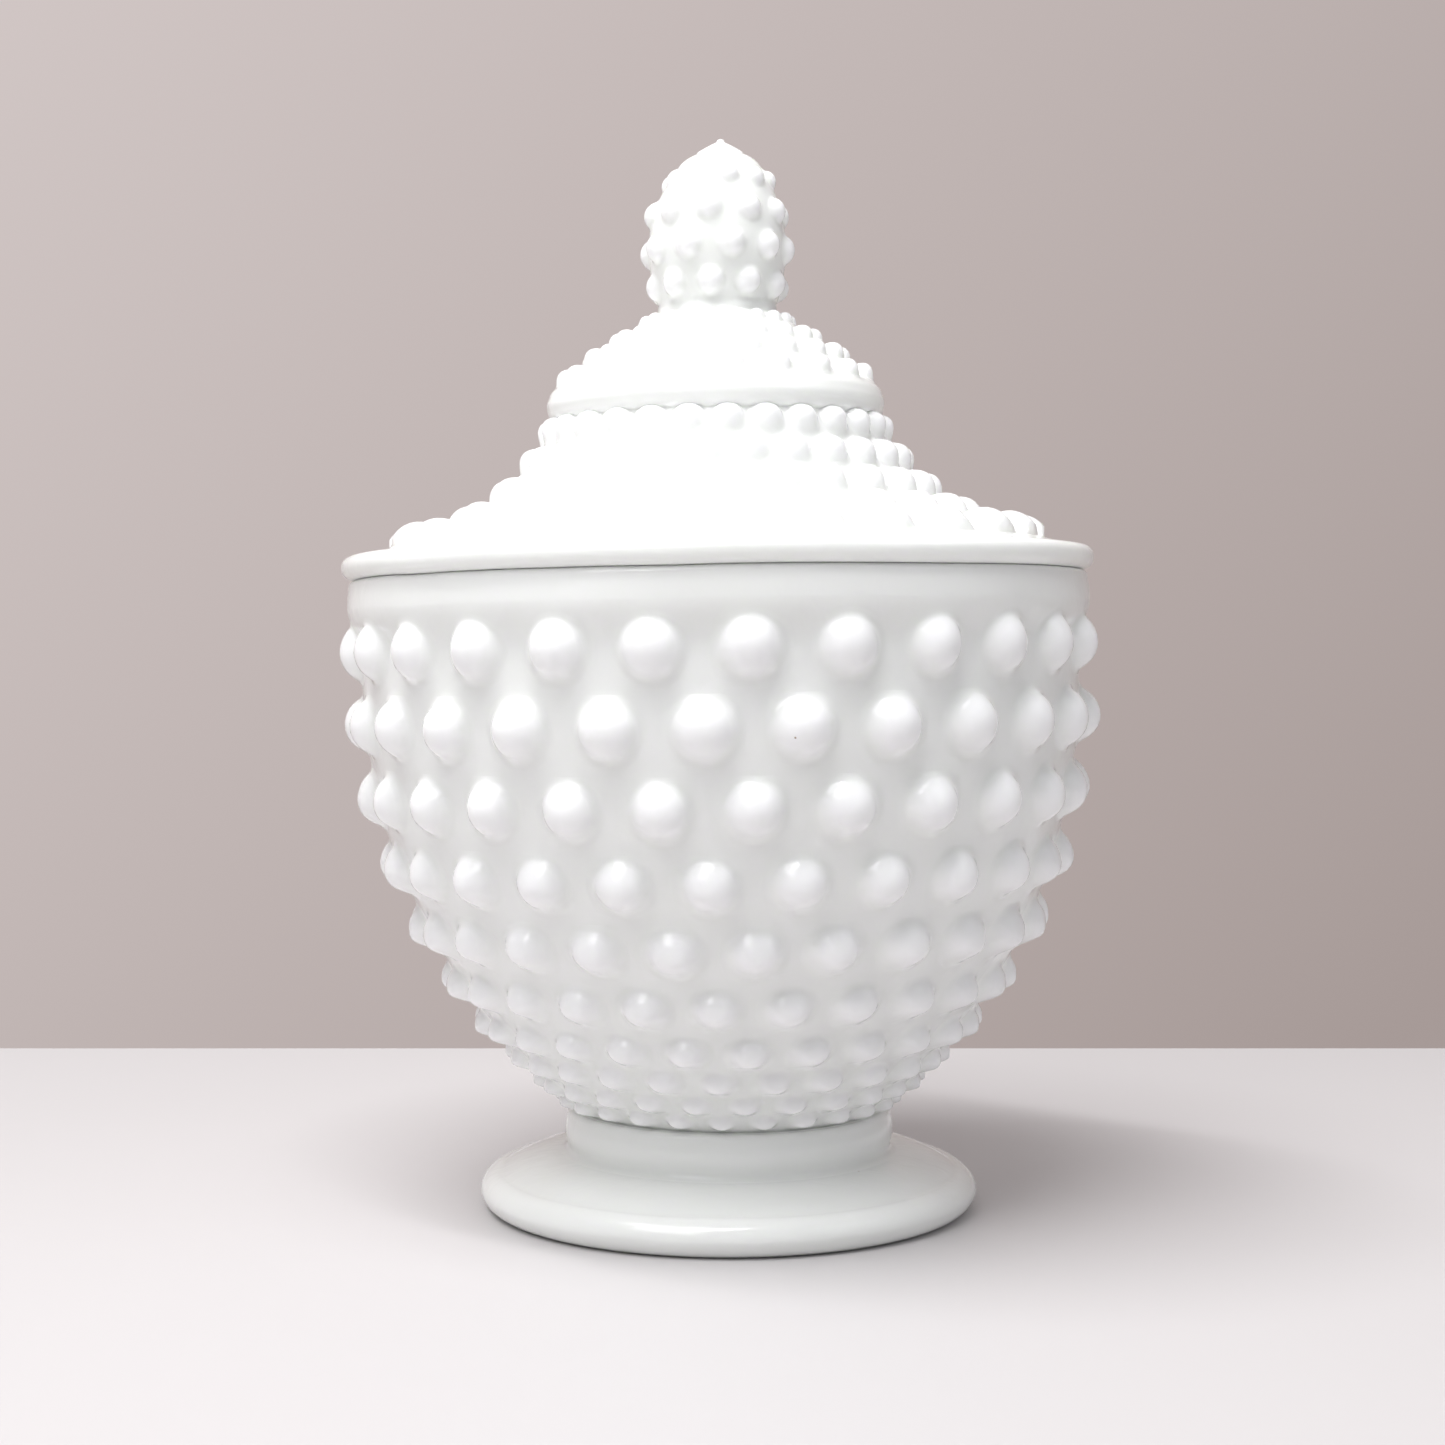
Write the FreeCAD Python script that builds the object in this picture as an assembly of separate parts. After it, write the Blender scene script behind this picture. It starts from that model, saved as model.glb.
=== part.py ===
import FreeCAD, Part
import math
import os

# A footed, covered jar in pressed milk glass with a hobnail pattern.  It is two pieces of glass:
# the jar, pressed in one with its collar and foot, and the lid, pressed in one with its finial.
# Origin: middle of the standing ring, in the plane that the jar stands on.  +Z is up.
# Millimetres throughout.

# ---------------------------------------------------------------- jar: foot and collar
foot_radius = 50.5            # widest part of the foot
foot_edge_height = 3.9        # level at which the foot is widest
foot_top_height = 11.6        # level at which the foot's top meets the collar
foot_crown = 1.9              # how far the foot's top bows up between edge and collar
stand_radius = 46.5           # outer edge of the flat standing ring
stand_width = 4.5             # width of the standing ring
foot_hollow_depth = 4.0       # hollow under the foot, inside the standing ring
collar_radius = 32.9          # collar at its two edges
collar_bulge = 0.6            # the collar swells by this much between its edges
collar_height = 8.4
collar_shoulder = 1.2         # rounding at the collar's top edge

# ---------------------------------------------------------------- jar: bowl
bowl_radius = 72.3            # outside of the wall at its widest, between the hobs
bowl_widest_height = 107.7    # the wall is upright above this level
bowl_curve_radius = 112.5     # the wall below that level is one arc of this radius
bowl_wall = 4.0
bowl_floor = 6.0              # glass between the collar's top and the bowl's inside
floor_round = 9.0             # rounding where the bowl's inside meets its floor
floor_bulge = 1.1             # how far that rounding bows out from its chord
rim_height = 127.6            # the plane that the lid rests on
band_radius = 74.6            # plain band under the rim
band_height = 12.4
band_slope = 2.4              # height over which the wall flares out to the band
band_bulge = 0.3
rim_round = 1.4               # outer rounding of the rim
lip_round = 1.4               # inner rounding of the rim

# ---------------------------------------------------------------- lid
seat_clearance = 0.8          # between the lid's locating ring and the jar's mouth, on the radius
locating_depth = 5.0          # how far the locating ring reaches into the mouth
locating_width = 3.2
flange_overhang = 1.0         # the lid's edge stands this far outside the jar's band
flange_tip_rise = 2.6         # level of the lid's edge above the seat
flange_tip_bulge = 0.7        # the edge is rounded by this much, above and below its tip
flange_top_rise = 4.8         # top of the rounded edge above the seat
flange_top_inset = 2.2        # top of the rounded edge, in from the edge
skirt_radius = 66.0           # where the plain flange ends and the hobnailed skirt starts
skirt_rise = 6.4
skirt_sag = 5.9               # the skirt is hollow-curved by this much
ring_radius = 32.8            # edges of the plain moulding between skirt and dome
ring_bulge = 1.3
ring_low_rise = 31.2
ring_high_rise = 38.0
dome_top_radius = 12.2        # where the dome meets the finial's neck
dome_top_rise = 52.8
dome_crown = 0.3
lid_wall = 4.2
hollow_round = 2.0            # inside, the turn from the locating ring to under the skirt
hollow_round_rise = 1.5
hollow_sag = 5.2              # inside, the hollow curve under the skirt
hollow_ring_drop = 1.5        # inside, the skirt stops this far below its outer top edge
hollow_crown = 1.0            # inside, the ceiling rises by this much to the axis

# ---------------------------------------------------------------- finial
neck_radius = 11.8
neck_rise = 54.4              # waist between the dome and the finial
finial_radius = 14.0          # body of the finial, between its hobs
finial_widest_rise = 66.4
finial_shoulder_radius = 9.0
finial_shoulder_rise = 81.2
shoulder_bulge = 0.4          # the top of the finial bows up by this much to the pointed tip
nipple_radius = 4.9           # foot of the pointed tip
nipple_rise = 84.9
tip_radius = 0.8              # the tip is blunted to this radius
finial_rise = 88.4            # whole height of the lid above its seat

# ---------------------------------------------------------------- hobs
bowl_hobs_around = 26         # in every row of the bowl
skirt_hobs_around = 28        # in every row of the lid's skirt
dome_hobs_around = 20
finial_hobs_around = 10
hob_fill = 0.68               # base diameter, as a share of the spacing round its row
hob_proud = 0.246             # height square to the wall, as a share of the same spacing
first_row_drop = 14.3         # from the rim down to the middle of the first row
first_row_turn = 0.82         # how far the first row is turned round from +X, as a share of its spacing
# From each bowl row down the wall to the next, as a share of the upper row's spacing.
row_steps = (0.83, 0.84, 0.84, 0.85, 0.87, 0.84, 0.73, 0.71, 0.66)
lid_row_turn = 0.31           # the same turn, for the first row of the skirt, dome and finial
skirt_row_inset = 4.6         # along the skirt, from its outer end to its first row
skirt_row_step = 0.85         # from each skirt row to the next, as a share of its spacing
skirt_end_gap = 1.0           # no row is centred nearer than this to the skirt's inner end
skirt_lean = 0.5              # 0 stands a lid hob square to the wall, 1 stands it straight up
dome_row_inset = 3.0          # along the dome, from its two ends to the nearest rows
dome_rows = 4
finial_rows = 4
finial_row_inset = 5.2        # along the finial, from its neck to the first row
finial_top_inset = 2.3        # along the finial, from its shoulder to the last row
lid_hob_fill = 0.80           # as hob_fill and hob_proud, on the lid
lid_hob_proud = 0.30

cut_margin = 1.0              # how far a cutting shape runs past the glass
quarter_turn = 1 - math.sqrt(0.5)   # how far a quarter round bows out from its chord, per radius


def point(radius, height):
    """A point of a half-section, which lies in the XZ plane."""
    return FreeCAD.Vector(radius, 0, height)


def bowed_edge(start, end, bulge):
    """An edge that bows by bulge to the right of its direction, which is outwards going up."""
    if bulge == 0:
        return Part.makeLine(start, end)
    run = end - start
    outwards = FreeCAD.Vector(run.z, 0, -run.x).normalize()
    middle = (start + end) * 0.5 + outwards * bulge
    return Part.Arc(start, middle, end).toShape()


def through_edge(start, middle, end):
    """An arc through three points."""
    return Part.Arc(start, middle, end).toShape()


def cap_edge(radius, low, high):
    """A cap that meets the axis squarely: from (radius, low) to the axis at high."""
    rise = high - low
    ball = (radius ** 2 + rise ** 2) / (2 * rise)
    centre = high - ball
    middle = math.sqrt(ball ** 2 - (radius / 2) ** 2)
    if rise < 0:
        middle = -middle
    return Part.Arc(point(radius, low), point(radius / 2, centre + middle), point(0, high)).toShape()


def outline(start, steps):
    """Edges from start through (radius, height, bulge) steps."""
    edges = []
    here = start
    for radius, height, bulge in steps:
        there = point(radius, height)
        edges.append(bowed_edge(here, there, bulge))
        here = there
    return edges


def turned(edges):
    """Close a run of edges and turn it once round the axis."""
    wire = Part.Wire(Part.__sortEdges__(edges))
    solid = Part.Face(wire).revolve(FreeCAD.Vector(0, 0, 0), FreeCAD.Vector(0, 0, 1), 360)
    return Part.makeSolid(solid) if solid.ShapeType == "Shell" else solid


# ---------------------------------------------------------------- walls that carry hobs
def bowl_radius_at(height):
    """Outside of the bowl's wall at a level below its widest."""
    drop = bowl_widest_height - height
    return bowl_radius - bowl_curve_radius + math.sqrt(bowl_curve_radius ** 2 - drop ** 2)


def bowl_arc(thickness, low, high):
    """The bowl's curve, set in by a thickness of glass, upwards from one level to another."""
    radius = bowl_curve_radius - thickness
    centre = bowl_radius - bowl_curve_radius

    def on_arc(height):
        return point(centre + math.sqrt(radius ** 2 - (bowl_widest_height - height) ** 2), height)

    return through_edge(on_arc(low), on_arc((low + high) / 2), on_arc(high))


def skirt_edge():
    return bowed_edge(point(skirt_radius, rim_height + skirt_rise),
                      point(ring_radius, rim_height + ring_low_rise), -skirt_sag)


def dome_edge():
    return bowed_edge(point(ring_radius, rim_height + ring_high_rise),
                      point(dome_top_radius, rim_height + dome_top_rise), dome_crown)


def finial_edge():
    return through_edge(point(neck_radius, rim_height + neck_rise),
                        point(finial_radius, rim_height + finial_widest_rise),
                        point(finial_shoulder_radius, rim_height + finial_shoulder_rise))


# ---------------------------------------------------------------- rows of hobs
def ring_of_hobs(base_radius, proud, spot, direction, count, phase):
    """Balls round the axis.  Each stands proud of spot along direction, with its rest sunk in the wall."""
    ball = (base_radius ** 2 + proud ** 2) / (2 * proud)
    hob = Part.makeSphere(ball, spot + direction * (proud - ball))
    hobs = []
    for index in range(count):
        copy = hob.copy()
        copy.rotate(FreeCAD.Vector(0, 0, 0), FreeCAD.Vector(0, 0, 1), 360 * (index + phase) / count)
        hobs.append(copy)
    return hobs


def place_on(edge, length):
    """The point at a length along an edge, and the direction out of the glass there."""
    where = edge.getParameterByLength(length)
    along = edge.tangentAt(where)
    return edge.valueAt(where), FreeCAD.Vector(along.z, 0, -along.x)


def leaning(outwards, lean):
    """A direction between square to the wall and straight up."""
    return (outwards * (1 - lean) + FreeCAD.Vector(0, 0, 1) * lean).normalize()


def bowl_hobs():
    """Rows from under the band down to the collar, each set half a step round from the last.

    The mould opens sideways, so every hob stands straight out from the jar's axis."""
    wall = bowl_arc(0, foot_top_height + collar_height, bowl_widest_height)
    below_widest = bowl_widest_height - rim_height + first_row_drop
    hobs = []
    for row, step in enumerate(row_steps + (0,)):
        if below_widest <= 0:
            spot, outwards = point(bowl_radius, bowl_widest_height - below_widest), point(1, 0)
        else:
            spot, outwards = place_on(wall, wall.Length - below_widest)
        spacing = 2 * math.pi * spot.x / bowl_hobs_around
        base_radius = spacing * hob_fill / 2
        if below_widest + base_radius > wall.Length:
            break
        proud = spacing * hob_proud / outwards.x
        hobs += ring_of_hobs(base_radius, proud, spot, point(1, 0), bowl_hobs_around,
                             first_row_turn + (row % 2) / 2)
        below_widest += step * spacing
    return hobs


def lid_row(edge, length, count, row, lean, gap):
    """One row of ball-shaped hobs on the lid.  gap is the room that it has along the wall."""
    spot, outwards = place_on(edge, length)
    spacing = min(2 * math.pi * spot.x / count, gap)
    direction = leaning(outwards, lean)
    return ring_of_hobs(spacing * lid_hob_fill / 2, spacing * lid_hob_proud,
                        spot, direction, count, lid_row_turn + (row % 2) / 2)


def skirt_hobs():
    edge = skirt_edge()
    hobs = []
    row = 0
    length = skirt_row_inset
    while length < edge.Length - skirt_end_gap:
        spot, _ = place_on(edge, length)
        spacing = 2 * math.pi * spot.x / skirt_hobs_around
        hobs += lid_row(edge, length, skirt_hobs_around, row, skirt_lean, spacing)
        length += spacing * skirt_row_step
        row += 1
    return hobs


def even_rows(edge, first, last, rows, count, lean):
    """Rows at even steps along an edge.  first and last are left free at its ends."""
    step = (edge.Length - first - last) / (rows - 1)
    hobs = []
    for row in range(rows):
        hobs += lid_row(edge, first + step * row, count, row, lean, step)
    return hobs


# ---------------------------------------------------------------- the two pieces of glass
def jar_outside():
    collar_low = foot_top_height
    collar_high = foot_top_height + collar_height
    edges = outline(point(0, 0), [(stand_radius, 0, 0)])
    edges.append(through_edge(
        point(stand_radius, 0),
        point(foot_radius - (foot_radius - stand_radius) * quarter_turn, foot_edge_height * quarter_turn),
        point(foot_radius, foot_edge_height)))
    edges += outline(point(foot_radius, foot_edge_height), [
        (collar_radius, collar_low, foot_crown),
        (collar_radius, collar_high - collar_shoulder, collar_bulge),
        (collar_radius - collar_shoulder, collar_high, collar_shoulder * quarter_turn),
        (bowl_radius_at(collar_high), collar_high, 0)])
    edges.append(bowl_arc(0, collar_high, bowl_widest_height))
    band_low = rim_height - band_height
    edges += outline(point(bowl_radius, bowl_widest_height), [
        (bowl_radius, band_low, 0),
        (band_radius - band_bulge, band_low + band_slope, 0),
        (band_radius - band_bulge, rim_height - rim_round, band_bulge),
        (band_radius - band_bulge - rim_round, rim_height, rim_round * quarter_turn),
        (0, rim_height, 0),
        (0, 0, 0)])
    return turned(edges)


def jar_inside():
    floor = foot_top_height + collar_height + bowl_floor
    arc_radius = bowl_curve_radius - bowl_wall
    centre = bowl_radius - bowl_curve_radius
    round_top = floor + floor_round / 2
    side = centre + math.sqrt(arc_radius ** 2 - (bowl_widest_height - round_top) ** 2)
    mouth = bowl_radius - bowl_wall
    edges = outline(point(0, floor), [
        (side - floor_round, floor, 0),
        (side, round_top, floor_bulge)])
    edges.append(bowl_arc(bowl_wall, round_top, bowl_widest_height))
    edges += outline(point(mouth, bowl_widest_height), [
        (mouth, rim_height - lip_round, 0),
        (mouth + lip_round, rim_height, -lip_round * quarter_turn),
        (mouth + lip_round, rim_height + cut_margin, 0),
        (0, rim_height + cut_margin, 0),
        (0, floor, 0)])
    return turned(edges)


def foot_hollow():
    inner = stand_radius - stand_width
    edges = outline(point(0, -cut_margin), [
        (inner, -cut_margin, 0),
        (inner, 0, 0)])
    edges.append(cap_edge(inner, 0, foot_hollow_depth))
    edges += outline(point(0, foot_hollow_depth), [(0, -cut_margin, 0)])
    return turned(edges)


def make_jar():
    return jar_outside().multiFuse(bowl_hobs()).cut(jar_inside()).cut(foot_hollow())


def lid_outside():
    mouth = bowl_radius - bowl_wall
    locating_radius = mouth - seat_clearance
    edge_radius = band_radius + flange_overhang
    seat_outer = band_radius - rim_round
    seat = rim_height
    edges = outline(point(0, seat - locating_depth), [
        (locating_radius, seat - locating_depth, 0),
        (locating_radius, seat, 0),
        (seat_outer, seat, 0),
        (edge_radius, seat + flange_tip_rise, flange_tip_bulge),
        (edge_radius - flange_top_inset, seat + flange_top_rise, flange_tip_bulge),
        (skirt_radius, seat + skirt_rise, 0)])
    edges.append(skirt_edge())
    edges += outline(point(ring_radius, seat + ring_low_rise), [
        (ring_radius, seat + ring_high_rise, ring_bulge)])
    edges.append(dome_edge())
    edges += outline(point(dome_top_radius, seat + dome_top_rise), [
        (neck_radius, seat + neck_rise, 0)])
    edges.append(finial_edge())
    slope = math.atan2(nipple_radius, finial_rise - nipple_rise)
    blunt_radius = tip_radius * math.cos(slope)
    blunt_rise = finial_rise - tip_radius * (1 - math.sin(slope))
    edges += outline(point(finial_shoulder_radius, seat + finial_shoulder_rise), [
        (nipple_radius, seat + nipple_rise, shoulder_bulge),
        (blunt_radius, seat + blunt_rise, 0)])
    edges.append(cap_edge(blunt_radius, seat + blunt_rise, seat + finial_rise))
    edges += outline(point(0, seat + finial_rise), [(0, seat - locating_depth, 0)])
    return turned(edges)


def lid_inside():
    """The hollow under the lid follows its outside at one thickness of glass."""
    seat = rim_height
    inner = bowl_radius - bowl_wall - seat_clearance - locating_width
    skirt_low = seat + skirt_rise - lid_wall
    open_end = seat - locating_depth - cut_margin
    ring_inner = ring_radius - lid_wall
    dome_inner = dome_top_radius - lid_wall
    dome_low = seat + dome_top_rise - lid_wall
    ceiling = dome_low + hollow_crown
    edges = outline(point(0, open_end), [
        (inner, open_end, 0),
        (inner, skirt_low - hollow_round_rise, 0),
        (inner - hollow_round, skirt_low, hollow_round * quarter_turn),
        (ring_inner, seat + ring_low_rise - hollow_ring_drop, -hollow_sag),
        (ring_inner, seat + ring_high_rise - lid_wall / 2, 0),
        (dome_inner, dome_low, dome_crown)])
    edges.append(cap_edge(dome_inner, dome_low, ceiling))
    edges += outline(point(0, ceiling), [(0, open_end, 0)])
    return turned(edges)


def make_lid():
    hobs = skirt_hobs()
    hobs += even_rows(dome_edge(), dome_row_inset, dome_row_inset, dome_rows, dome_hobs_around, skirt_lean)
    hobs += even_rows(finial_edge(), finial_row_inset, finial_top_inset, finial_rows, finial_hobs_around, 0)
    return lid_outside().multiFuse(hobs).cut(lid_inside())


def main():
    os.makedirs("parts", exist_ok=True)
    for name, make in (("jar", make_jar), ("lid", make_lid)):
        shape = make()
        if len(shape.Solids) != 1 or not shape.isValid():
            raise ValueError(name + " is not one sound piece of glass")
        glass = shape.Solids[0]
        print(name, "volume cm3", round(glass.Volume / 1000, 1), glass.BoundBox)
        glass.exportStep("parts/" + name + ".step")


main()
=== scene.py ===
import math

import bpy
import numpy as np
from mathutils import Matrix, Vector


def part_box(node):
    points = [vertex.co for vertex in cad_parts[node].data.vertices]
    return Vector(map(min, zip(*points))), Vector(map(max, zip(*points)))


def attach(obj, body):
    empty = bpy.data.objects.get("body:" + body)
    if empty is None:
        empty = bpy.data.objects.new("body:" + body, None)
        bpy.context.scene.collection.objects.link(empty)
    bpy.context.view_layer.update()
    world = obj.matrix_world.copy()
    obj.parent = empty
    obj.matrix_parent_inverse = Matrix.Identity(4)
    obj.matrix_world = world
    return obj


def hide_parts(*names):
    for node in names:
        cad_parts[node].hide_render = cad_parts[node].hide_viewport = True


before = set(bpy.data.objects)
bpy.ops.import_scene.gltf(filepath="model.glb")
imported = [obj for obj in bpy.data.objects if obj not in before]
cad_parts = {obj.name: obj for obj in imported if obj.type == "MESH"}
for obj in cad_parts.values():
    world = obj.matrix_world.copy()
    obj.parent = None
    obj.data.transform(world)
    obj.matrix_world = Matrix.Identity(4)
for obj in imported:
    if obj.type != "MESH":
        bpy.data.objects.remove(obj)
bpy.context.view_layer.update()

# A covered, footed jar in hobnail milk glass.  It is two pieces of glass, jar and lid.  Each is one
# closed skin: rings of points laid from the middle of its underside, over its outside, to the middle
# of its inside.  Shapes are worked out in millimetres and turned to metres when a mesh is made.
MM = 0.001
FULL_TURN = 2 * math.pi

# ------------------------------------------------------------------ sizes that come from the frame
jar_low, jar_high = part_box("jar")
lid_low, lid_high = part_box("lid")
RIM = jar_high.z / MM                      # the level that the lid rests on
OVER_HOBS = jar_high.x / MM                # outside of the first row of hobs
LID_EDGE = lid_high.x / MM
LOCATING_DEPTH = (jar_high.z - lid_low.z) / MM
TOP = lid_high.z / MM

# ------------------------------------------------------------------ jar
BOWL_HOBS = 26
FIRST_ROW_TURN = 0.82                      # of a spacing, from straight out to the right
HOB_HEIGHT = 0.246                         # height square to the wall over the spacing round the row
WALL_RADIUS = OVER_HOBS / (1 + HOB_HEIGHT * FULL_TURN / BOWL_HOBS)
WIDEST = RIM - 19.9                        # the wall is upright above this level
WALL_CURVE = 112.5                         # radius of the wall's curve below it
GLASS = 4.0                                # thickness of the bowl's wall
FOOT_RADIUS, FOOT_EDGE = 50.5, 3.9
STAND_RADIUS, STAND_WIDTH = 46.5, 4.5
FOOT_HOLLOW = 4.0
COLLAR_RADIUS, COLLAR_LOW, COLLAR_HIGH = 32.9, 11.6, 20.0
BOWL_FLOOR = 26.0
BAND_RADIUS = LID_EDGE - 1.0
BAND_LOW = RIM - 12.4
FIRST_ROW = RIM - 14.3
FLARE_START, FLARE_HEIGHT = -1.6, 8.0      # the wall eases out to the band, from this far over BAND_LOW
BAND_SWELL, SWELL_START, SWELL_HEIGHT = 0.35, 2.0, 9.0
ROW_STEPS = (0.83, 0.84, 0.84, 0.85, 0.87, 0.84, 0.73, 0.71, 0.66)
BALL_ROWS = 4                              # round hobs; lower rows are blunt tapered plugs
BALL_BASE, BALL_FILLET = 0.64, 2.4         # base diameter over the spacing, and the blend at its foot
PLUG_BASE = 0.70
LOW_ROWS, LOW_HEIGHT = 3, 0.8              # the lowest rows stand out less, by this share
HOB_STANCE = (1.0, 0.0)                    # the mould opens sideways, so hobs stand straight out

# ------------------------------------------------------------------ lid
SEAT = RIM + 0.06                          # a hair of air under the flange
MOUTH = WALL_RADIUS - GLASS
LOCATING_RADIUS = MOUTH - 0.8
LOCATING_WIDTH = 3.2
SKIRT_START = (66.0, 6.4)                  # radius, and height above the rim
SKIRT_END = (32.8, 31.2)
SKIRT_SAG = -5.9
RING_TOP = 38.0
DOME_END = (12.2, 52.8)
FLANGE_TIP, FLANGE_TOP = 2.4, 4.8          # levels of the flange's tip and top over the seat
NECK = (11.8, 54.4)
FINIAL_WIDEST = (14.0, 66.4)
FINIAL_SHOULDER = (9.0, 81.2)
NIPPLE = (4.9, 84.9)
SKIRT_HOBS, DOME_HOBS, FINIAL_HOBS = 28, 20, 10
LID_ROW_TURN = 0.31
SKIRT_FIRST_ROW, SKIRT_ROW_STEP = 4.8, 0.85
SKIRT_HOB_RADIUS, SKIRT_HOB_HEIGHT, SKIRT_FILLET = 0.43, 0.29, 1.3
DOME_ROWS, FINIAL_ROWS = 4, 4
LID_GLASS = 4.2

# ------------------------------------------------------------------ how fine the skins are
CELLS = (18, 16, 16)                       # steps across the square round a hob: upper, middle, low rows
LID_CELL = 18
DOME_CELL = 16
SMOOTH_SIDES = 176                         # round the plain outside
INSIDE_SIDES = 88

random = np.random.default_rng(11)


# ------------------------------------------------------------------ outlines
def arc(start, end, bulge, count):
    """Points after start and up to end, on an arc that bows to the right of its direction."""
    (r0, z0), (r1, z1) = start, end
    chord = math.hypot(r1 - r0, z1 - z0)
    if abs(bulge) < 1e-9:
        return [(r0 + (r1 - r0) * i / count, z0 + (z1 - z0) * i / count) for i in range(1, count + 1)]
    radius = (chord ** 2 / 4 + bulge ** 2) / (2 * bulge)
    half = math.asin(max(-1.0, min(1.0, chord / (2 * radius))))
    along = ((r1 - r0) / chord, (z1 - z0) / chord)
    out = (along[1], -along[0])
    points = []
    for i in range(1, count + 1):
        angle = half * (2 * i / count - 1)
        forward = chord / 2 + radius * math.sin(angle)
        sideways = radius * math.cos(angle) - (radius - bulge)
        points.append((r0 + along[0] * forward + out[0] * sideways,
                       z0 + along[1] * forward + out[1] * sideways))
    return points


def cap(start, height, count):
    """Points after start, along a cap that is level where it meets the axis at a height."""
    r0, z0 = start
    rise = height - z0
    ball = (r0 ** 2 + rise ** 2) / (2 * rise)
    points = []
    for i in range(1, count):
        radius = r0 * (1 - i / count)
        points.append((radius, height - ball + math.copysign(math.sqrt(ball ** 2 - radius ** 2), rise)))
    return points


def smoothly(x):
    """0 up to 1, with a level start and end."""
    x = np.clip(x, 0, 1)
    return x * x * (3 - 2 * x)


def respaced(points, count, bend=0.0):
    """The same line with count even steps, or with closer ones where it bends, for a bend above 0."""
    points = np.array(points, float)
    run = np.diff(points, axis=0)
    slope = np.arctan2(run[:, 1], run[:, 0])
    length = np.r_[0, np.cumsum(np.hypot(*run.T) + bend * np.abs(np.diff(slope, prepend=slope[0])))]
    even = np.linspace(0, length[-1], count + 1)
    return np.c_[np.interp(even, length, points[:, 0]), np.interp(even, length, points[:, 1])]


class Wall:
    """A line in the half-section, read by the distance along it."""

    def __init__(self, points):
        self.points = respaced(points, 600)
        self.length = float(np.hypot(*np.diff(self.points, axis=0).T).sum())
        self.steps = np.linspace(0, self.length, len(self.points))

    def at(self, distance):
        return (np.interp(distance, self.steps, self.points[:, 0]),
                np.interp(distance, self.steps, self.points[:, 1]))

    def outwards(self, distance):
        r0, z0 = self.at(distance - 0.2)
        r1, z1 = self.at(distance + 0.2)
        size = math.hypot(r1 - r0, z1 - z0)
        return (z1 - z0) / size, -(r1 - r0) / size


# ------------------------------------------------------------------ hobs
def ball_outline(base, height, fillet):
    """Half of a ball-shaped hob in section, from its crown to the end of the fillet at its foot."""
    ball = (base ** 2 + height ** 2) / (2 * height)
    sunk = ball - height
    reach = math.sqrt((ball + fillet) ** 2 - (fillet + sunk) ** 2)
    turn = math.asin(reach / (ball + fillet))
    points = [(ball * math.sin(a), ball * math.cos(a) - sunk) for a in np.linspace(0, turn, 40)]
    points += [(reach - fillet * math.sin(a), fillet - fillet * math.cos(a))
               for a in np.linspace(turn, 0, 14)[1:]]
    return points


def plug_outline(base, height):
    """Half of a blunt tapered hob in section."""
    shape = [(0.0, 1.0), (0.28, 0.985), (0.46, 0.93), (0.61, 0.79), (0.75, 0.56), (0.89, 0.31),
             (1.03, 0.12), (1.16, 0.03), (1.30, 0.0)]
    fine = []
    for (x0, y0), (x1, y1) in zip(shape, shape[1:]):
        fine += [(x0 + (x1 - x0) * t, y0 + (y1 - y0) * t) for t in (0, 0.5)]
    fine.append(shape[-1])
    fine = np.array(fine)
    for _ in range(2):
        fine[1:-1] = (fine[:-2] + 2 * fine[1:-1] + fine[2:]) / 4
    return [(x * base, y * height) for x, y in fine]


class Row:
    """One row of hobs: where it is on its wall, and the size and stance of its hobs."""

    def __init__(self, wall, distance, around, phase, base, height, stance, outline):
        self.distance, self.around, self.phase = distance, around, phase
        self.radius, self.level = wall.at(distance)
        self.stance = np.array(stance) / math.hypot(*stance)
        out = wall.outwards(distance)
        self.reach = height / max(out[0] * self.stance[0] + out[1] * self.stance[1], 0.45)
        self.outline = np.array(outline(base, self.reach))
        self.size = 1 + random.normal(0, 0.014, around)
        self.tall = 1 + random.normal(0, 0.02, around)


def hob_lift(row, angle, distance, spot):
    """How the nearest hobs of a row lift points of the wall: by how much, and in which direction."""
    pitch = FULL_TURN / row.around
    hob = np.floor(angle / pitch - row.phase + 0.5).astype(int)
    hob_turn = (hob + row.phase) * pitch
    which = hob % row.around
    away = np.hypot((angle - hob_turn) * row.radius, distance - row.distance)
    rise = np.interp(away / row.size[which], row.outline[:, 0], row.outline[:, 1])
    share = rise / row.reach * row.tall[which]
    axis = np.c_[row.stance[0] * np.cos(hob_turn), row.stance[0] * np.sin(hob_turn),
                 np.full_like(angle, row.stance[1])]
    centre = np.c_[row.radius * np.cos(hob_turn), row.radius * np.sin(hob_turn),
                   np.full_like(angle, row.level)]
    fall = ((spot - centre) * axis).sum(axis=1)
    return share * np.maximum(row.reach - fall, 0), axis, share


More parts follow.
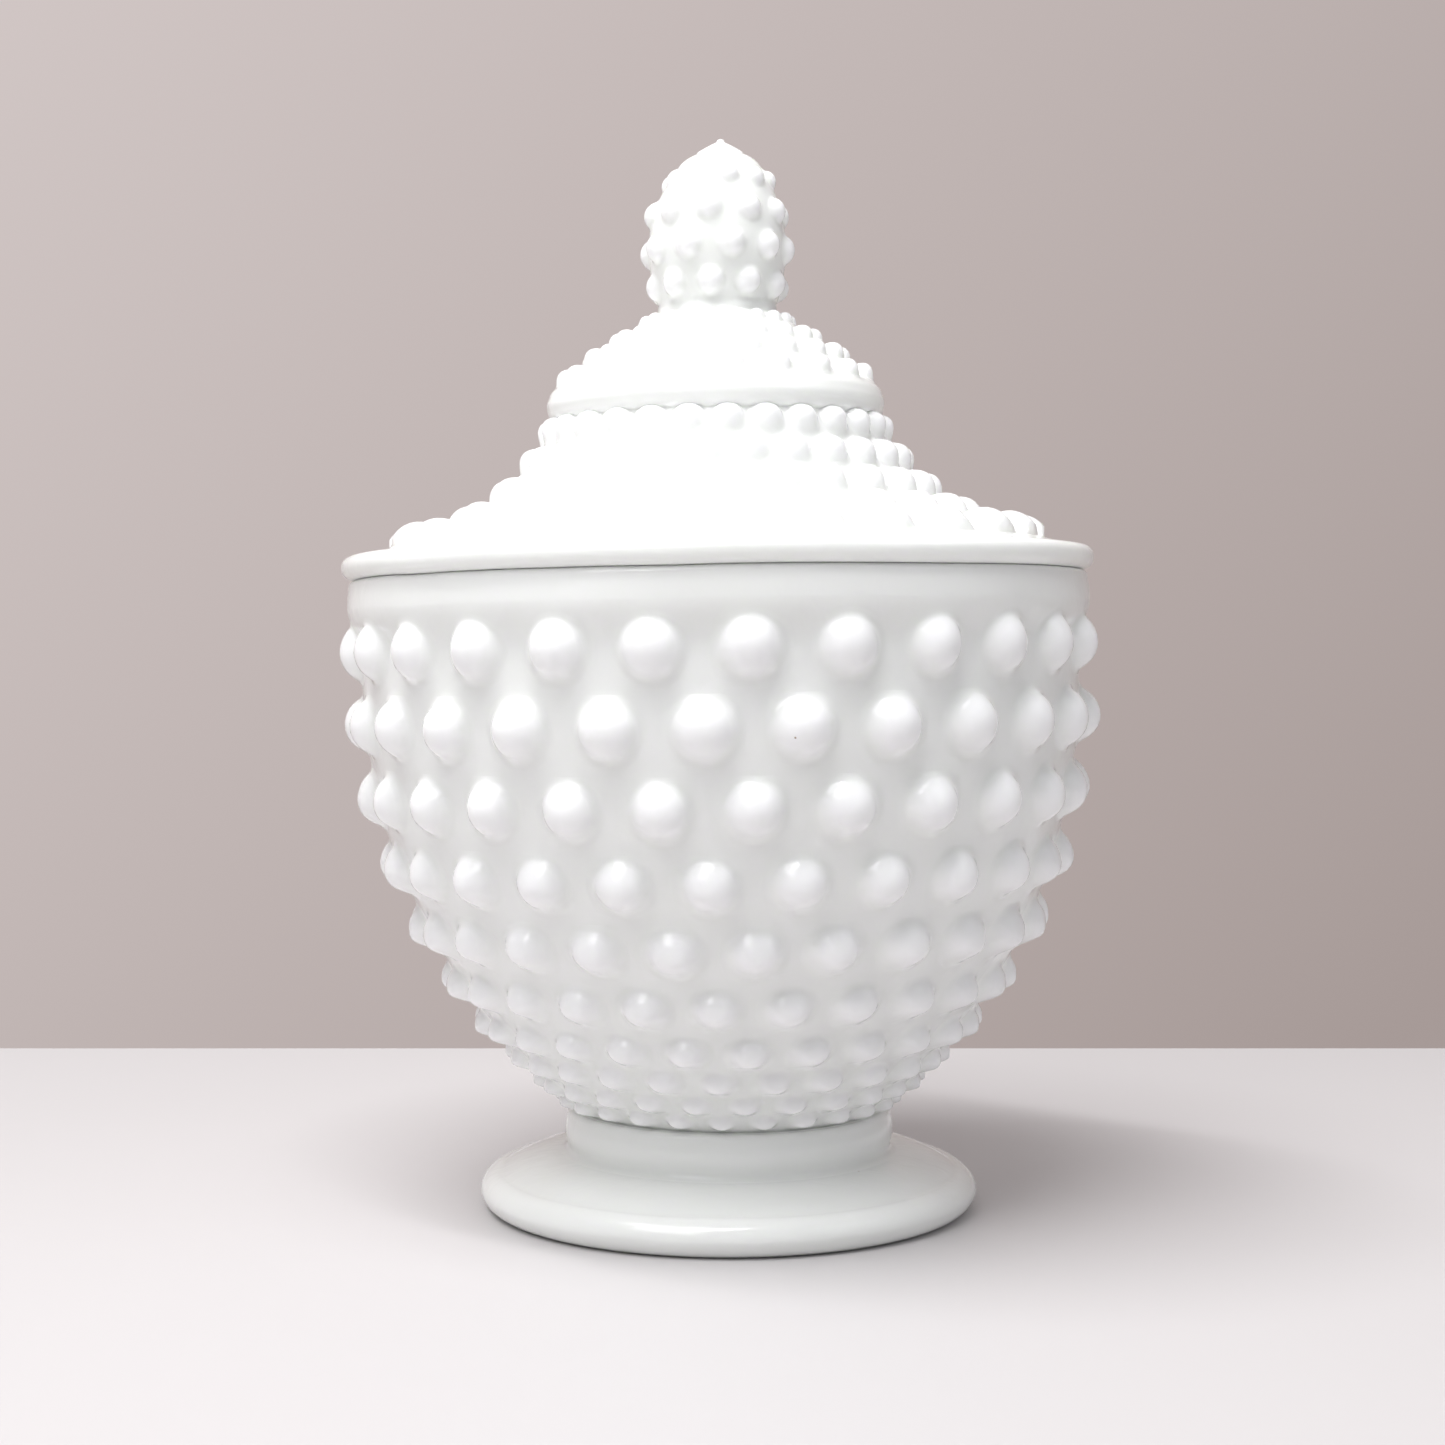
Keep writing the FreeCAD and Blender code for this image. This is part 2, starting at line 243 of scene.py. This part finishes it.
def hob_cell_line(wall, row, beside, v, low, high, cell):
    """One line of points round the piece through the cells of a row, at v from -1 to 1 up each cell.

    The points lie in rings round each hob, which ease into the cell's edges.  Where hobs of the rows
    beside this one reach into the cell, the higher glass stands."""
    half = cell // 2
    own = half - 2
    column = np.arange(row.around * cell)
    hob = np.floor(column / cell - row.phase + 0.5).astype(int)
    u = 2 * (column / cell - row.phase - hob)
    width = math.pi * row.radius / row.around
    height = high if v > 0 else low
    step = np.round(np.maximum(np.abs(u), abs(v)) * half).astype(int)
    x, y = u * width, np.full_like(u, v * height)
    turn = np.arctan2(y, x)
    edge = np.minimum(width / np.maximum(np.abs(np.cos(turn)), 1e-9),
                      height / np.maximum(np.abs(np.sin(turn)), 1e-9))
    rings = respaced(row.outline, own, 2.2)[:, 0]
    rho = rings[np.minimum(step, own)] * np.minimum(1, edge * 0.87 / rings[-1])
    ease = np.clip((step - own) / (half - own), 0, 1)
    x = rho * np.cos(turn) * (1 - ease) + x * ease
    y = rho * np.sin(turn) * (1 - ease) + y * ease
    angle = (hob + row.phase) * FULL_TURN / row.around + x / row.radius
    distance = row.distance + y
    radius, level = wall.at(distance)
    spot = np.c_[radius * np.cos(angle), radius * np.sin(angle), level]
    lift, axis, share = hob_lift(row, angle, distance, spot)
    for other in beside:
        other_lift, other_axis, other_share = hob_lift(other, angle, distance, spot)
        higher = other_lift > lift
        lift = np.where(higher, other_lift, lift)
        share = np.where(higher, other_share, share)
        axis = np.where(higher[:, None], other_axis, axis)
    return spot + axis * lift[:, None], np.clip(share, 0, 1)


def hob_field(wall, rows, start, end, cells):
    """Lines of points over all rows, which run upwards, from start to end along the wall."""
    middles = [(a.distance + b.distance) / 2 for a, b in zip(rows, rows[1:])]
    edges = [start] + middles + [end]
    lines = []
    for number, (row, cell) in enumerate(zip(rows, cells)):
        low, high = row.distance - edges[number], edges[number + 1] - row.distance
        beside = rows[max(0, number - 1):number] + rows[number + 1:number + 2]
        for j in range(1 if lines else 0, cell + 1):
            lines.append(hob_cell_line(wall, row, beside, 2 * j / cell - 1, low, high, cell))
    return lines


# ------------------------------------------------------------------ skins
class Skin:
    """Points and faces of one closed piece of glass, laid ring by ring."""

    def __init__(self):
        self.points, self.faces, self.crown, self.last = [], [], [], None
        self.count, self.last_turn = 0, 0.0

    def ring(self, points, turn, crown=None):
        """A ring of points round the axis, turned as a whole by an angle."""
        points = np.asarray(points, float)
        turned = points.copy()
        turned[:, 0] = points[:, 0] * math.cos(turn) - points[:, 1] * math.sin(turn)
        turned[:, 1] = points[:, 0] * math.sin(turn) + points[:, 1] * math.cos(turn)
        numbers = np.arange(self.count, self.count + len(points))
        self.points.append(turned)
        self.crown.append(np.zeros(len(points)) if crown is None else crown)
        self.count += len(points)
        if self.last is not None:
            self.join(self.last, numbers, (turn - self.last_turn) / FULL_TURN)
        self.last, self.last_turn = numbers, turn

    def join(self, a, b, ahead):
        """Faces between two rings.  ahead is how far round b starts after a, in whole turns."""
        na, nb = len(a), len(b)
        if na == nb > 1 and abs(ahead) < 1e-9:
            self.faces += np.c_[a, np.roll(a, -1), np.roll(b, -1), b].tolist()
            return
        start = round(ahead * nb)
        b = np.roll(b, start)
        left_over = ahead - start / nb
        i = j = 0
        steps_a, steps_b = (na if na > 1 else 0), (nb if nb > 1 else 0)
        while i < steps_a or j < steps_b:
            next_a = (i + 1) / na if i < steps_a else 9.0
            next_b = (j + 1) / nb + left_over if j < steps_b else 9.0
            if next_a <= next_b:
                self.faces.append([int(a[i % na]), int(a[(i + 1) % na]), int(b[j % nb])])
                i += 1
            else:
                self.faces.append([int(a[i % na]), int(b[(j + 1) % nb]), int(b[j % nb])])
                j += 1

    def pole(self, height):
        self.ring([(0, 0, height)], self.last_turn)

    def turned(self, outline, sides):
        angle = np.arange(sides) * FULL_TURN / sides
        for radius, height in outline:
            self.ring(np.c_[radius * np.cos(angle), radius * np.sin(angle), np.full(sides, height)],
                      self.last_turn)

    def field(self, lines, turn):
        for points, crown in lines:
            self.ring(points, turn, crown)

    def piece(self, name, body, material):
        points = settled(fire_polished(np.concatenate(self.points))) * MM
        mesh = bpy.data.meshes.new(name)
        mesh.from_pydata(points.tolist(), [], self.faces)
        mesh.validate()
        mesh.polygons.foreach_set("use_smooth", [True] * len(mesh.polygons))
        # The crown share also goes on the points; the glass colour uses it to paint shade between hobs and
        # light on their heads.
        crown = mesh.attributes.new("crown", "FLOAT", "POINT")
        crown.data.foreach_set("value", np.concatenate(self.crown).astype(np.float32))
        mesh.update()
        mesh.materials.append(material)
        piece = bpy.data.objects.new(name, mesh)
        bpy.context.scene.collection.objects.link(piece)
        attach(piece, body)
        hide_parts(body)
        return piece


POLISH_WAVES = ((41.0, 0.10, 0.0), (27.0, 0.07, 1.9), (17.0, 0.035, 4.1))   # length, depth, start
TRUE_FOOT = 6.0                            # the waves fade out below this level, so the foot stands flat


def fire_polished(points):
    """The slow, shallow unevenness that flame leaves on pressed glass."""
    waves = np.zeros_like(points)
    for length, depth, turn in POLISH_WAVES:
        phase = points @ np.array([[0.8, 0.36, -0.48], [-0.6, 0.48, 0.64], [0.0, -0.8, 0.6]])
        phase = phase * (FULL_TURN / length) + turn
        waves += depth * np.c_[np.sin(phase[:, 1]), np.sin(phase[:, 2]), np.sin(phase[:, 0]) * 0.5]
    return points + waves * smoothly(points[:, 2:] / TRUE_FOOT)


LEAN_LEVELS = (0, 55, 113, 130, 163, 185, 200, 216)
LEAN_SHIFTS = (0, 0.05, -1.75, -2.2, -2.6, -2.2, -2.4, -1.45)
LEAN_TILT = 0.0165                         # rise per sideways millimetre, once above the foot
LEAN_START, LEAN_EASE = 22, 45


def settled(points):
    """The bowl and lid stand a little out of true on their foot, as hand-finished glass does."""
    level = points[:, 2]
    blend = smoothly((level - LEAN_START) / LEAN_EASE)
    shift = np.interp(level, LEAN_LEVELS, LEAN_SHIFTS)
    moved = points.copy()
    moved[:, 2] += points[:, 0] * LEAN_TILT * blend
    moved[:, 0] += shift
    return moved


# ------------------------------------------------------------------ the jar
def bowl_wall():
    """From the collar's top, up the bowl's curve, to the band under the rim."""
    centre = WALL_RADIUS - WALL_CURVE
    low = math.asin((WIDEST - COLLAR_HIGH) / WALL_CURVE)
    line = [(centre + WALL_CURVE * math.cos(a), WIDEST - WALL_CURVE * math.sin(a))
            for a in np.linspace(low, 0, 200)]
    for level in np.linspace(WIDEST, RIM - 1.3, 60)[1:]:
        flare = smoothly((level - BAND_LOW - FLARE_START) / FLARE_HEIGHT)
        share = min(1, max(0, (level - BAND_LOW - SWELL_START) / SWELL_HEIGHT))
        swell = BAND_SWELL * math.sin(math.pi * share)
        line.append((WALL_RADIUS + (BAND_RADIUS - WALL_RADIUS - BAND_SWELL) * float(flare) + swell, level))
    return Wall(line)


def bowl_rows(wall):
    """Rows from the first, down the wall to the collar, and then listed upwards."""
    curve = WALL_CURVE * math.asin((WIDEST - COLLAR_HIGH) / WALL_CURVE)
    distance = curve + FIRST_ROW - WIDEST
    rows = []
    for number, step in enumerate(ROW_STEPS + (0,)):
        radius, _ = wall.at(distance)
        spacing = FULL_TURN * radius / BOWL_HOBS
        if number < BALL_ROWS:
            base, outline = spacing * BALL_BASE / 2, lambda b, h: ball_outline(b, h, BALL_FILLET)
        else:
            base, outline = spacing * PLUG_BASE / 2, plug_outline
        low = number > len(ROW_STEPS) - LOW_ROWS
        height = spacing * HOB_HEIGHT * (LOW_HEIGHT if low else 1)
        rows.append(Row(wall, distance, BOWL_HOBS, (number % 2) / 2, base, height, HOB_STANCE, outline))
        distance -= step * spacing
    return rows[::-1]


def make_jar(material):
    skin = Skin()
    inner = STAND_RADIUS - STAND_WIDTH
    skin.pole(FOOT_HOLLOW)
    skin.turned(cap((inner, 0.9), FOOT_HOLLOW, 12)[::-1], INSIDE_SIDES)
    foot = arc((inner - 0.6, 0.9), (inner + 0.7, 0.0), -0.2, 4)
    foot += arc((inner + 0.7, 0.0), (STAND_RADIUS, 0.0), 0, 3)
    foot += arc((STAND_RADIUS, 0.0), (FOOT_RADIUS, FOOT_EDGE), 1.1, 10)
    foot += arc((FOOT_RADIUS, FOOT_EDGE), (FOOT_RADIUS - 4.2, 7.5), 1.0, 8)
    foot += arc((FOOT_RADIUS - 4.2, 7.5), (COLLAR_RADIUS + 1.6, COLLAR_LOW - 0.5), 0.7, 16)
    foot += arc((COLLAR_RADIUS + 1.6, COLLAR_LOW - 0.5), (COLLAR_RADIUS, COLLAR_LOW + 1.0), -0.5, 5)
    foot += arc((COLLAR_RADIUS, COLLAR_LOW + 1.0), (COLLAR_RADIUS, COLLAR_HIGH - 1.4), 0.5, 8)
    foot += arc((COLLAR_RADIUS, COLLAR_HIGH - 1.4), (COLLAR_RADIUS - 1.4, COLLAR_HIGH - 0.1), 0.5, 6)
    skin.turned(foot, SMOOTH_SIDES)
    wall = bowl_wall()
    rows = bowl_rows(wall)
    top_of_field = rows[-1].distance + FULL_TURN * rows[-1].radius / BOWL_HOBS * 0.50
    cells = [CELLS[2]] * LOW_ROWS + [CELLS[1]] * 3 + [CELLS[0]] * BALL_ROWS
    skin.field(hob_field(wall, rows, 0.0, top_of_field, cells), FIRST_ROW_TURN * FULL_TURN / BOWL_HOBS)
    band = [wall.at(d) for d in np.linspace(top_of_field, wall.length, 12)[1:]]
    r, z = band[-1]
    band += arc((r, z), (r - 1.2, RIM), 0.35, 7)
    band += arc((r - 1.2, RIM), (MOUTH + 1.4, RIM), 0, 3)
    skin.turned(band, SMOOTH_SIDES)
    centre, curve = WALL_RADIUS - WALL_CURVE, WALL_CURVE - GLASS
    floor_start = BOWL_FLOOR + 4.5
    low = math.asin((WIDEST - floor_start) / curve)
    inside = arc((MOUTH + 1.4, RIM), (MOUTH, RIM - 1.4), 0.4, 5)
    inside += arc((MOUTH, RIM - 1.4), (MOUTH, WIDEST), 0, 8)
    inside += [(centre + curve * math.cos(a), WIDEST - curve * math.sin(a))
               for a in np.linspace(0, low, 44)[1:]]
    inside += arc(inside[-1], (inside[-1][0] - 9.0, BOWL_FLOOR), 1.1, 8)
    skin.turned(inside, INSIDE_SIDES)
    skin.turned(cap(inside[-1], BOWL_FLOOR - 0.4, 10), INSIDE_SIDES)
    skin.pole(BOWL_FLOOR - 0.4)
    return skin.piece("jar_milk_glass", "jar", material)


# ------------------------------------------------------------------ the lid
def on_lid(spot):
    """A point of the lid, given by its radius and its height over the seat."""
    return spot[0], SEAT + spot[1]


def skirt_rows(wall):
    """Rows from the flange up the skirt.  Their hobs lean halfway between square to it and upright."""
    rows, distance, number = [], SKIRT_FIRST_ROW, 0
    while distance < wall.length - 1:
        radius, _ = wall.at(distance)
        spacing = FULL_TURN * radius / SKIRT_HOBS
        out = wall.outwards(distance)
        rows.append(Row(wall, distance, SKIRT_HOBS, (number % 2) / 2, spacing * SKIRT_HOB_RADIUS,
                        spacing * SKIRT_HOB_HEIGHT, (out[0], out[1] + 1.0),
                        lambda b, h: ball_outline(b, h, SKIRT_FILLET)))
        distance += spacing * SKIRT_ROW_STEP
        number += 1
    return rows


def even_rows(wall, first, last, count, around, rise, fill, tall, fillet):
    """Rows at even steps along a wall.  rise tips the hobs upwards, and 0 leaves them square to it."""
    step = (wall.length - first - last) / (count - 1)
    rows = []
    for number in range(count):
        distance = first + step * number
        radius, _ = wall.at(distance)
        spacing = min(FULL_TURN * radius / around, step * 1.15)
        out = wall.outwards(distance)
        rows.append(Row(wall, distance, around, (number % 2) / 2, spacing * fill / 2, spacing * tall,
                        (out[0], out[1] + rise), lambda b, h: ball_outline(b, h, fillet)))
    return rows


def make_lid(material):
    skin = Skin()
    inner = LOCATING_RADIUS - LOCATING_WIDTH
    ring_inner, dome_inner = SKIRT_END[0] - LID_GLASS, DOME_END[0] - LID_GLASS
    dome_low = SEAT + DOME_END[1] - LID_GLASS
    skirt_low = SEAT + SKIRT_START[1] - LID_GLASS
    skin.pole(dome_low + 1.0)
    inside = [(dome_inner, dome_low)]
    inside += arc(inside[-1], (ring_inner, SEAT + RING_TOP - LID_GLASS / 2), -0.3, 10)
    inside += arc(inside[-1], (ring_inner, SEAT + SKIRT_END[1] - 1.5), 0, 6)
    inside += arc(inside[-1], (inner - 2.0, skirt_low + 0.5), -SKIRT_SAG - 0.6, 20)
    inside += arc(inside[-1], (inner, skirt_low - 1.0), -0.6, 4)
    inside += arc(inside[-1], (inner, RIM - LOCATING_DEPTH + 0.8), 0, 4)
    inside += arc(inside[-1], (inner + 0.8, RIM - LOCATING_DEPTH), 0.2, 3)
    skin.turned(cap((dome_inner, dome_low), dome_low + 1.0, 5)[::-1], INSIDE_SIDES)
    skin.turned(inside, INSIDE_SIDES)
    outside = arc(inside[-1], (LOCATING_RADIUS - 1.0, RIM - LOCATING_DEPTH), 0, 2)
    outside += arc(outside[-1], (LOCATING_RADIUS, RIM - LOCATING_DEPTH + 1.0), 0.3, 4)
    outside += arc(outside[-1], (LOCATING_RADIUS, SEAT - 0.5), 0, 3)
    outside += arc(outside[-1], (LOCATING_RADIUS + 0.5, SEAT), -0.15, 3)
    outside += arc(outside[-1], (BAND_RADIUS - 1.1, SEAT), 0, 4)
    outside += arc(outside[-1], (LID_EDGE, SEAT + FLANGE_TIP), 0.62, 8)
    outside += arc(outside[-1], (LID_EDGE - FLANGE_TIP, SEAT + FLANGE_TOP), 0.8, 8)
    skirt = Wall([on_lid(SKIRT_START)] + arc(on_lid(SKIRT_START), on_lid(SKIRT_END), SKIRT_SAG, 80))
    outside += arc(outside[-1], skirt.at(0.0), -0.25, 8)
    skin.turned(outside, SMOOTH_SIDES)
    rows = skirt_rows(skirt)
    skin.field(hob_field(skirt, rows, 0.2, skirt.length, [LID_CELL] * len(rows)),
               LID_ROW_TURN * FULL_TURN / SKIRT_HOBS)
    ring = arc(on_lid(SKIRT_END), on_lid((SKIRT_END[0] + 1.1, SKIRT_END[1] + 2.0)), 0.35, 5)
    ring += arc(ring[-1], on_lid((SKIRT_END[0] + 1.0, RING_TOP - 2.2)), 0.35, 6)
    ring += arc(ring[-1], on_lid((SKIRT_END[0] - 0.2, RING_TOP - 0.2)), 0.25, 4)
    skin.turned(ring, SMOOTH_SIDES)
    dome_start = (SKIRT_END[0] - 0.3, RING_TOP)
    dome = Wall([on_lid(dome_start)] + arc(on_lid(dome_start), on_lid(DOME_END), 0.3, 60))
    dome_rows = even_rows(dome, 3.0, 3.0, DOME_ROWS, DOME_HOBS, rise=1.0, fill=0.72, tall=0.27, fillet=0.8)
    skin.field(hob_field(dome, dome_rows, 0.0, dome.length, [DOME_CELL] * DOME_ROWS),
               LID_ROW_TURN * FULL_TURN / DOME_HOBS)
    finial_line = [on_lid(NECK)] + arc(on_lid(NECK), on_lid(FINIAL_WIDEST), 0.5, 30)
    finial_line += arc(on_lid(FINIAL_WIDEST), on_lid(FINIAL_SHOULDER), 1.1, 40)
    finial = Wall(finial_line)
    finial_rows = even_rows(finial, 3.8, 1.9, FINIAL_ROWS, FINIAL_HOBS, rise=0.0, fill=0.70, tall=0.22,
                            fillet=1.3)
    skin.field(hob_field(finial, finial_rows, 0.3, finial.length, [LID_CELL] * FINIAL_ROWS),
               LID_ROW_TURN * FULL_TURN / FINIAL_HOBS)
    tip_height = TOP - SEAT
    tip = arc(finial.at(finial.length), on_lid((NIPPLE[0] + 0.6, NIPPLE[1] - 0.2)), 0.5, 6)
    tip += arc(tip[-1], on_lid((NIPPLE[0] - 0.2, NIPPLE[1] + 0.5)), -0.15, 3)
    tip += arc(tip[-1], on_lid((0.9, tip_height - 0.75)), 0.1, 6)
    skin.turned(tip, INSIDE_SIDES)
    skin.turned(cap(tip[-1], TOP, 4), INSIDE_SIDES)
    skin.pole(TOP)
    return skin.piece("lid_milk_glass", "lid", material)


# ------------------------------------------------------------------ finish of the glass, with painted shade between hobs and painted light on their heads
# Painted shade: the glass sunk between hobs is darker and greener than the hob heads, and the heads are
# painted whiter as painted light.
SHADED_SUNK_GLASS = ((0.885, 0.900, 0.872, 1), (0.905, 0.912, 0.900, 1))     # it varies between these two
LIT_HOB_HEADS = (0.955, 0.955, 0.965, 1)
INCLUSIONS = (0.30, 0.19, 0.10, 1)
GLOSS = (0.03, 0.09)                       # roughness, from best polished to least


def milk_glass():
    """Opal white with fire-polished gloss; painted shade makes the glass sunk between hobs darker and
    greener, and painted light makes the hob heads whiter.
    """
    material = bpy.data.materials.new("pressed_milk_glass")
    material.use_nodes = True
    nodes, links = material.node_tree.nodes, material.node_tree.links
    shader = nodes["Principled BSDF"]
    where = nodes.new("ShaderNodeTexCoord")

    def noise(scale, detail, distortion=0.0):
        node = nodes.new("ShaderNodeTexNoise")
        node.inputs["Scale"].default_value = scale
        node.inputs["Detail"].default_value = detail
        node.inputs["Distortion"].default_value = distortion
        links.new(where.outputs["Object"], node.inputs["Vector"])
        return node.outputs["Fac"]

    def ranged(value, low, high, to_low, to_high):
        node = nodes.new("ShaderNodeMapRange")
        for label, number in zip(("From Min", "From Max", "To Min", "To Max"), (low, high, to_low, to_high)):
            node.inputs[label].default_value = number
        links.new(value, node.inputs["Value"])
        return node.outputs["Result"]

    def mixed(share, first, second):
        node = nodes.new("ShaderNodeMix")
        node.data_type = "RGBA"
        links.new(share, node.inputs["Factor"])
        for socket, colour in ((node.inputs["A"], first), (node.inputs["B"], second)):
            if isinstance(colour, tuple):
                socket.default_value = colour
            else:
                links.new(colour, socket)
        return node.outputs["Result"]

    # Painted shade between hobs, varied at random between its two tones.
    shaded_batch = mixed(noise(38.0, 3.0, 1.2), *SHADED_SUNK_GLASS)
    # Painted light and shade by the crown share: whiter on the hob heads, darker and greener where the glass
    # sinks between them.
    crown = nodes.new("ShaderNodeAttribute")
    crown.attribute_name = "crown"
    shade_and_lit_heads = mixed(ranged(crown.outputs["Fac"], 0.05, 0.75, 0.0, 1.0), shaded_batch, LIT_HOB_HEADS)
    cells = nodes.new("ShaderNodeTexVoronoi")
    cells.inputs["Scale"].default_value = 75.0
    links.new(where.outputs["Object"], cells.inputs["Vector"])
    chosen = nodes.new("ShaderNodeSeparateColor")
    links.new(cells.outputs["Color"], chosen.inputs["Color"])
    speck = nodes.new("ShaderNodeMath")
    speck.operation = "MULTIPLY"
    links.new(ranged(cells.outputs["Distance"], 0.018, 0.010, 0.0, 0.8), speck.inputs[0])
    links.new(ranged(chosen.outputs["Red"], 0.80, 0.81, 0.0, 1.0), speck.inputs[1])
    links.new(mixed(speck.outputs["Value"], shade_and_lit_heads, INCLUSIONS), shader.inputs["Base Color"])
    links.new(ranged(noise(55.0, 4.0), 0.3, 0.7, *GLOSS), shader.inputs["Roughness"])

    ripple = nodes.new("ShaderNodeBump")
    ripple.inputs["Strength"].default_value = 0.06
    ripple.inputs["Distance"].default_value = 0.001
    links.new(noise(210.0, 2.0, 0.6), ripple.inputs["Height"])
    links.new(ripple.outputs["Normal"], shader.inputs["Normal"])

    shader.inputs["Subsurface Weight"].default_value = 0.45
    shader.inputs["Subsurface Radius"].default_value = (1.0, 1.05, 0.95)
    shader.inputs["Subsurface Scale"].default_value = 0.004
    shader.inputs["IOR"].default_value = 1.5
    return material


# ------------------------------------------------------------------ stage, light and camera
def make_floor():
    """A pale shelf whose back edge is a little behind the jar."""
    depth, back, side, thick = 1.6, 0.19, 1.6, 0.03
    mesh = bpy.data.meshes.new("shelf")
    corners = [(x, y, z) for z in (-thick, 0) for y in (-depth, back) for x in (-side, side)]
    mesh.from_pydata(corners, [], [(4, 5, 7, 6), (0, 2, 3, 1), (0, 1, 5, 4), (2, 6, 7, 3),
                                   (0, 4, 6, 2), (1, 3, 7, 5)])
    floor = bpy.data.objects.new("shelf", mesh)
    bpy.context.scene.collection.objects.link(floor)
    material = bpy.data.materials.new("pale_shelf")
    material.use_nodes = True
    shader = material.node_tree.nodes["Principled BSDF"]
    shader.inputs["Base Color"].default_value = (0.60, 0.58, 0.585, 1)
    shader.inputs["Roughness"].default_value = 0.45
    mesh.materials.append(material)


def add_softbox(name, spot, target, size, power, colour=(1, 1, 1)):
    light = bpy.data.lights.new(name, "AREA")
    light.shape = "RECTANGLE"
    light.size, light.size_y = size
    light.energy = power
    light.color = colour
    lamp = bpy.data.objects.new(name, light)
    bpy.context.scene.collection.objects.link(lamp)
    lamp.location = spot
    lamp.rotation_euler = (Vector(target) - Vector(spot)).to_track_quat("-Z", "Y").to_euler()


def make_light():
    """A pale room: a warm grey wall behind, neutral in front, with softboxes above, ahead and beside."""
    world = bpy.data.worlds.new("pale_room")
    bpy.context.scene.world = world
    world.use_nodes = True
    nodes, links = world.node_tree.nodes, world.node_tree.links
    where = nodes.new("ShaderNodeTexCoord")
    split = nodes.new("ShaderNodeSeparateXYZ")
    links.new(where.outputs["Generated"], split.inputs["Vector"])
    depth = nodes.new("ShaderNodeMapRange")
    depth.inputs["From Min"].default_value = 0.75
    depth.inputs["From Max"].default_value = -0.2
    links.new(split.outputs["Y"], depth.inputs["Value"])
    side = nodes.new("ShaderNodeMath")
    side.operation = "SUBTRACT"
    links.new(split.outputs["Z"], side.inputs[0])
    links.new(split.outputs["X"], side.inputs[1])
    fall = nodes.new("ShaderNodeMapRange")
    fall.inputs["From Min"].default_value = -0.42
    fall.inputs["From Max"].default_value = 0.55
    links.new(side.outputs["Value"], fall.inputs["Value"])
    wall = nodes.new("ShaderNodeMix")
    wall.data_type = "RGBA"
    wall.inputs["A"].default_value = (0.385, 0.325, 0.312, 1)
    wall.inputs["B"].default_value = (0.640, 0.570, 0.560, 1)
    links.new(fall.outputs["Result"], wall.inputs["Factor"])
    room = nodes.new("ShaderNodeMix")
    room.data_type = "RGBA"
    room.inputs["B"].default_value = (0.31, 0.32, 0.33, 1)
    links.new(depth.outputs["Result"], room.inputs["Factor"])
    links.new(wall.outputs["Result"], room.inputs["A"])
    links.new(room.outputs["Result"], nodes["Background"].inputs["Color"])
    middle = (0, 0, 0.11)
    add_softbox("overhead_softbox", (-0.20, -0.28, 1.05), middle, (0.8, 0.6), 7.5)
    add_softbox("overhead_strip", (-0.18, -0.20, 1.00), middle, (0.75, 0.07), 4.5)
    add_softbox("front_softbox", (-0.50, -0.80, 0.95), middle, (0.6, 0.6), 4.2)
    add_softbox("side_softbox", (1.00, -0.45, 0.85), middle, (0.7, 0.7), 1.2, (0.95, 0.97, 1.0))


def make_camera():
    """Eye level with the upper bowl, looking slightly down."""
    distance, eye, tilt, lens = 0.4935, 0.1126, 1.7, 60.4
    camera = bpy.data.cameras.new("camera")
    camera.lens = lens
    camera.sensor_width = 36
    camera.dof.use_dof = False
    holder = bpy.data.objects.new("camera", camera)
    bpy.context.scene.collection.objects.link(holder)
    holder.location = (-0.0012, -distance, eye)
    holder.rotation_euler = (math.radians(90 - tilt), 0, 0)
    bpy.context.scene.camera = holder


glass = milk_glass()
make_jar(glass)
make_lid(glass)
make_floor()
make_light()
make_camera()
bpy.context.scene.view_settings.view_transform = "Standard"
